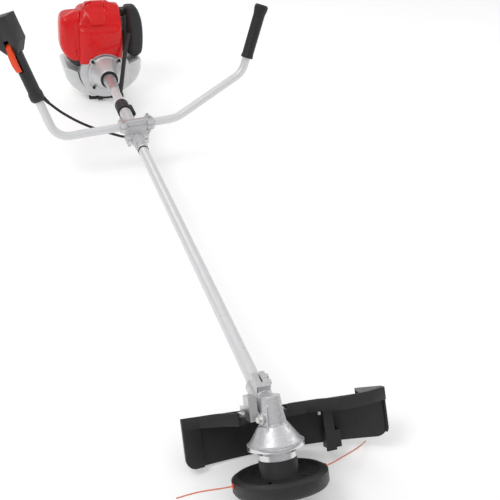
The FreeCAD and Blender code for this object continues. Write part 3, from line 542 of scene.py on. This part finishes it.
# ---------------------------------------------------------------- engine covers
# Outlines of the moulded covers, from the bottom up: (height, left, right, front, back, squareness).
ENGINE_LEVELS = (
    (33, -80, 56, 1500, 1658, 9), (60, -80.5, 58.5, 1500, 1660, 8), (100, -80.5, 59.5, 1500, 1660, 7),
    (143, -80, 59, 1501, 1659, 6.5), (160, -77, 58, 1505, 1655, 6), (178, -71, 57.5, 1511, 1642, 5.5),
    (190, -64, 56.5, 1517, 1622, 5), (199, -57, 54, 1522, 1596, 4.5), (205, -49, 48, 1528, 1572, 4),
    (208, -36, 32, 1536, 1560, 3),
)
ENGINE_HOLLOW = (
    (20, -76, 54, 1509, 1654, 7), (90, -76.5, 55.5, 1509, 1656, 7), (150, -75, 54.5, 1515, 1652, 6),
    (180, -66, 50, 1530, 1630, 4),
)
MUFFLER_LEVELS = (
    (40, -106, -66, 1522, 1640, 5), (48, -114, -66, 1517, 1643, 5.5), (62, -126, -66, 1514, 1645, 5.5),
    (85, -134, -66, 1513, 1646, 5.5), (120, -134, -66, 1513, 1646, 5.5), (150, -132.5, -66, 1514, 1640, 5),
    (168, -127, -66, 1518, 1620, 4.6), (178, -117, -66, 1524, 1600, 4.3), (185, -102, -66, 1531, 1580, 4),
    (189, -90, -67, 1539, 1566, 3.4),
)
MUFFLER_HOLLOW = (
    (46, -104, -84, 1526, 1634, 5), (70, -117, -83.5, 1521, 1640, 5), (130, -119, -83.5, 1521, 1638, 5),
    (166, -104, -83.5, 1532, 1606, 4),
)
MUFFLER_BASE_LEVELS = (
    (12, -84, -70, 1545, 1626, 5), (18, -94, -70, 1535, 1632, 5), (30, -106, -70, 1526, 1637, 5.5),
    (40, -112, -70, 1522, 1640, 6), (47, -117, -70, 1519, 1641, 6),
)
CLEANER_LEVELS = (
    (34, 93, 114, 1553, 1624, 4), (38, 84, 121, 1548, 1630, 4.4), (48, 77.5, 127.5, 1543, 1635, 5),
    (70, 74, 130.8, 1540.5, 1637.5, 5), (105, 73.3, 131.8, 1540, 1638, 5),
    (140, 73.3, 129.4, 1540, 1637, 4.8), (163, 73.8, 124, 1541, 1631, 4.5),
    (180, 75, 117, 1543, 1614, 4.2), (190, 78, 109, 1546, 1596, 4),
    (195, 83, 102, 1551, 1580, 3.5),
)
CLEANER_HOLLOW = (
    (40, 93, 113, 1556, 1622, 4), (60, 78, 126, 1550, 1632, 5), (140, 78, 124, 1550, 1631, 5),
    (176, 80, 112, 1554, 1606, 4),
)
# Radii cut clear of the clutch housing's flange and of the fan cover, and the louvres in the muffler cover.
FLANGE_ROOM_R, FAN_ROOM_R = 64, 81.5
LOUVRES, LOUVRE_START, LOUVRE_STEP, LOUVRE_WIDTH = 6, 1566, 12, 5


def window(low, high, edge, value):
    """1 between low and high, with soft edges."""
    return smooth_step(low - edge, low + edge, value) * (1 - smooth_step(high - edge, high + edge, value))


def engine_cover():
    """Red engine cover: a ledge across its front, a raised pad over it, and a scoop in its domed top."""
    def shape(x, y, z, front):
        ledge = smooth_step(131, 147, z) * (1 - smooth_step(28, 58, x)) * smooth_step(-84, -62, x)
        y += 9 * ledge * front
        pad = window(-40 - (z - 156) * 0.22, 4, 2.5, x) * smooth_step(149, 156, z)
        y -= 9 * pad * max(0.0, 1 - max(0.0, z - 156) / 30) * front
        y += 8 * window(-50, 6, 3, x) * smooth_step(187, 196, z) * front
        y -= 2.2 * front * (1 - smooth_step(-3, 3, z - 76 - 0.26 * (x + 13))) * smooth_step(-30, 0, x)
        crown = window(-52, 20, 4, x) * (1 - smooth_step(1550, 1595, y)) * smooth_step(184, 204, z)
        return x, y, z + 8 * crown
    shell = stack("engine_cover_shell", ENGINE_LEVELS, "red_cover", shape, steps=9, around=200, sharp=55)
    carve(shell, cylinder_cutter(FLANGE_ROOM_R, 1480, 1507), cylinder_cutter(FAN_ROOM_R, 1505, 1700),
          stack("cutter", ENGINE_HOLLOW, "steel"))
    mark_sharp(shell.data, 50)
    settle(shell, "frame", "red_cover", "engine_cover")


def muffler_cover():
    """Red bulge over the muffler, with its black base."""
    def shape(x, y, z, front):
        y += 3 * window(-86, -80, 3, x) * window(56, 160, 14, z) * front
        y += 5 * (1 - smooth_step(-131, -109 - 0.1 * (z - 60), x)) * front
        narrowing = 8 * smooth_step(1560, 1646, y) * smooth_step(-90, -120, x)
        return x + narrowing, y, z
    shell = stack("muffler_cover_shell", MUFFLER_LEVELS, "red_cover", shape, steps=8, around=150, sharp=60)
    slots = []
    for k in range(LOUVRES):
        front = LOUVRE_START + LOUVRE_STEP * k
        bm = bmesh.new()
        box(bm, (-140, front, 84), (-121, front + LOUVRE_WIDTH, 128), 1.5)
        slots.append(to_object("cutter", bm, POLE, "steel"))
    hollow = stack("cutter", MUFFLER_HOLLOW, "steel")
    carve(shell, hollow, *slots)
    mark_sharp(shell.data, 50)
    settle(shell, "frame", "red_cover", "muffler_cover")
    base = stack("muffler_guard_base", MUFFLER_BASE_LEVELS, "black_plastic", steps=5, sharp=45)
    settle(base, "frame", "black_plastic")


def air_cleaner():
    """Black air-cleaner cover with a bevelled front."""
    def shape(x, y, z, front):
        y += 6.5 * (1 - smooth_step(78, 97, x)) * front
        y += 0.9 * window(52, 56, 1.2, z) * front + 0.9 * window(172, 176, 1.2, z) * front
        return x, y, z
    cover = stack("air_cleaner_shell", CLEANER_LEVELS, "black_plastic", shape, steps=8, around=160, sharp=60)
    hollow = stack("cutter", CLEANER_HOLLOW, "steel")
    back_cut = bmesh.new()
    box(back_cut, (60, 1535, 20), (78.2, 1645, 210))
    carve(cover, hollow, to_object("cutter", back_cut, POLE, "steel"))
    mark_sharp(cover.data, 50)
    settle(cover, "air_cleaner_cover", "black_plastic", "air_cleaner_cover")


# ---------------------------------------------------------------- fuel tank
def fuel_tank():
    """Milky tank wrapped round the fan housing, with soft edges and a filler neck."""
    tank = moulded_copy("fuel_tank", "fuel_tank_moulding", "tank_white", 3.5, 4, 26)
    settle(tank, "frame", "tank_white", "fuel_tank")
    profile = [(11, 1680), (15, 1680), (15, 1686.5), (14.2, 1687.5), (11, 1687.5), (11, 1680)]
    neck = turned_piece("filler_neck", profile, "tank_white",
                        turn=Matrix.Translation((82, 0, -22)) @ ALONG_POLE, segments=64)
    settle(neck, "frame", "tank_white")


# ---------------------------------------------------------------- small details, castings and mouldings
GLAND_START, GLAND_END = (-222, 1029.2, 108), (-233.5, 1030.8, 121.8)
EYELET_W = -93
TUBE_R = 13.02
# Each row: the piece's name, its look, where it starts and ends along the tube, its radius.
SLEEVE_RINGS = (("sleeve_collar", "cast_metal", 940, 951.9, 15.4), ("sleeve_seal", "rubber", 921, 928, 14.1))
# Each row: node, the piece's name, voxel size in millimetres, smoothing passes.
CASTINGS = (("gear_case", "gear_case_casting", 0.9, 5), ("clamp_cap", "clamp_cap_casting", 0.6, 5),
            ("clamp_base", "clamp_base_casting", 0.7, 5), ("clamp_foot", "clamp_foot_casting", 0.7, 4),
            ("clutch_housing", "clutch_housing_casting", 1.1, 4), ("fan_cover", "fan_cover_casting", 1.2, 4))
# Each row: node, the piece's name, the radius on its edges in millimetres.
MOULDINGS = (("guard", "guard_moulding", 1.2), ("throttle_case_outer", "throttle_case_outer_moulding", 1.4),
             ("throttle_case_inner", "throttle_case_inner_moulding", 1.4),
             ("left_grip", "left_grip_moulding", 1.0), ("fuel_cap", "fuel_cap_moulding", 0.8),
             ("starter_housing", "starter_housing_moulding", 1.5),
             ("starter_handle", "starter_handle_moulding", 1.2), ("line_head", "line_head_moulding", 0.9),
             ("throttle_trigger", "throttle_trigger_moulding", 1.1), ("stand", "stand_moulding", 1.0),
             ("cable_band", "cable_band_moulding", 0.7), ("gear_case_ring", "gear_case_ring_turning", 0.5))


def cable_gland():
    """The rubber gland that takes the throttle cable's end into the throttle handle."""
    start, end = Vector(GLAND_START), Vector(GLAND_END)
    along = (end - start).to_track_quat("Z", "Y").to_matrix().to_4x4()
    reach = (end - start).length
    profile = [(0, 0), (3.9, 0), (4.2, 1), (5.2, reach - 2), (5.2, reach), (0, reach)]
    turn = Matrix.Translation(start) @ along
    gland = turned_piece("cable_gland", profile, "rubber", turn=turn, segments=48)
    settle(gland, "frame", "rubber")


def eyelets():
    """The two red eyelets where the line leaves the head."""
    profile = [(1.6, 71), (3.1, 71), (3.1, 78.6), (4.8, 78.6), (4.8, 79.6), (4.2, 80.2),
               (1.7, 80.2), (1.6, 71)]
    for side, name in ((-1, "eyelet_a"), (1, "eyelet_b")):
        turn = Matrix.Translation((0, 0, EYELET_W)) @ Matrix.Rotation(side * math.pi / 2, 4, "Y")
        eyelet = turned_piece(name, profile, "trigger_red", HEAD, turn, 48)
        settle(eyelet, "cutting_head", "trigger_red")


def sleeve_rings():
    """The metal collar and the rubber ring on the drive tube, just below its sleeve."""
    for name, look, low, high, radius in SLEEVE_RINGS:
        profile = [(TUBE_R, low), (radius - 0.5, low), (radius, low + 0.7), (radius, high - 0.7),
                   (radius - 0.5, high), (TUBE_R, high), (TUBE_R, low)]
        settle(turned_piece(name, profile, look), "frame", look)


def rounded_copies():
    """The castings and mouldings that keep their CAD shape, with softened edges."""
    slots = {entry["node"]: entry["material_slot"] for entry in frame["record"]["subparts"]}
    for node, name, voxel, passes in CASTINGS:
        settle(cast_copy(node, name, slots[node], voxel, passes), NODES[node]["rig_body"], slots[node], node)
    for node, name, width in MOULDINGS:
        settle(moulded_copy(node, name, slots[node], width), NODES[node]["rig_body"], slots[node], node)


# ---------------------------------------------------------------- camera, floor and light
CAMERA_PLACE = (-370.0, -937.2, 912.4)
CAMERA_TURN = 0.3513
CAMERA_DIP = 0.5685
CAMERA_ROLL = 0.0628
CAMERA_LENS = 57.21


def add_camera():
    """The camera stands in front of the cutting head, above it and to its right, looking down the machine."""
    level = math.cos(CAMERA_DIP)
    ahead = Vector((math.sin(CAMERA_TURN) * level, math.cos(CAMERA_TURN) * level, -math.sin(CAMERA_DIP)))
    right = ahead.cross(Vector((0, 0, 1))).normalized()
    up = right.cross(ahead)
    right_rolled = math.cos(CAMERA_ROLL) * right + math.sin(CAMERA_ROLL) * up
    up_rolled = math.cos(CAMERA_ROLL) * up - math.sin(CAMERA_ROLL) * right
    turn = Matrix((right_rolled, up_rolled, -ahead)).transposed()
    data = bpy.data.cameras.new("camera")
    data.lens = CAMERA_LENS
    data.clip_start = 0.05
    data.clip_end = 60
    camera = bpy.data.objects.new("camera", data)
    camera.matrix_world = Matrix.Translation(point(POLE, CAMERA_PLACE)) @ (POLE_TURN @ turn).to_4x4()
    bpy.context.scene.collection.objects.link(camera)
    bpy.context.scene.camera = camera


def area_light(name, place, target, size, power, colour=(1, 1, 1)):
    data = bpy.data.lights.new(name, "AREA")
    data.shape = "RECTANGLE"
    data.size, data.size_y = size
    data.energy = power
    data.color = colour
    light = bpy.data.objects.new(name, data)
    light.location = place
    light.rotation_euler = (Vector(target) - Vector(place)).to_track_quat("-Z", "Y").to_euler()
    bpy.context.scene.collection.objects.link(light)


def add_stage():
    """A plain pale floor, a pale world and three soft lights."""
    bpy.ops.mesh.primitive_plane_add(size=60, location=(0, 0, 0))
    floor = bpy.context.object
    floor.name = "floor"
    material, tree, main = shader("pale_floor", (0.93, 0.93, 0.93), 0.9, Specular_IOR_Level=0.1)
    tint = ramp(tree, noise(tree, 3, 2), 0.3, 0.7, (0.925, 0.925, 0.925), (0.94, 0.94, 0.94))
    tree.links.new(tint, main.inputs["Base Color"])
    main.inputs["Emission Color"].default_value = (1, 1, 1, 1)
    main.inputs["Emission Strength"].default_value = 0.16
    floor.data.materials.append(material)
    world = bpy.data.worlds.new("studio")
    world.use_nodes = True
    sky = world.node_tree
    where = sky.nodes.new("ShaderNodeTexCoord")
    height = sky.nodes.new("ShaderNodeSeparateXYZ")
    sky.links.new(where.outputs["Generated"], height.inputs["Vector"])
    sky.links.new(ramp(sky, height.outputs["Z"], 0.0, 0.75, (0.42, 0.42, 0.43), (1.0, 1.0, 1.0)),
                  sky.nodes["Background"].inputs["Color"])
    sky.nodes["Background"].inputs["Strength"].default_value = 0.8
    bpy.context.scene.world = world
    bpy.context.scene.view_settings.view_transform = "Standard"
    middle = (0, 0.2, 0.15)
    area_light("key_light", (-1.6, -0.9, 2.6), middle, (1.2, 1.2), 24)
    area_light("side_light", (2.3, 0.2, 1.5), middle, (0.9, 1.5), 8)
    area_light("rear_light", (-0.6, 2.6, 1.7), middle, (1.5, 0.7), 7)


# ---------------------------------------------------------------- the whole model
finish_cad_nodes()
for node_name, line_route in LINE_ROUTES.items():
    line_end(node_name, line_route)
engine_cover()
muffler_cover()
air_cleaner()
fuel_tank()
rounded_copies()
cable_gland()
eyelets()
sleeve_rings()
add_stage()
add_camera()
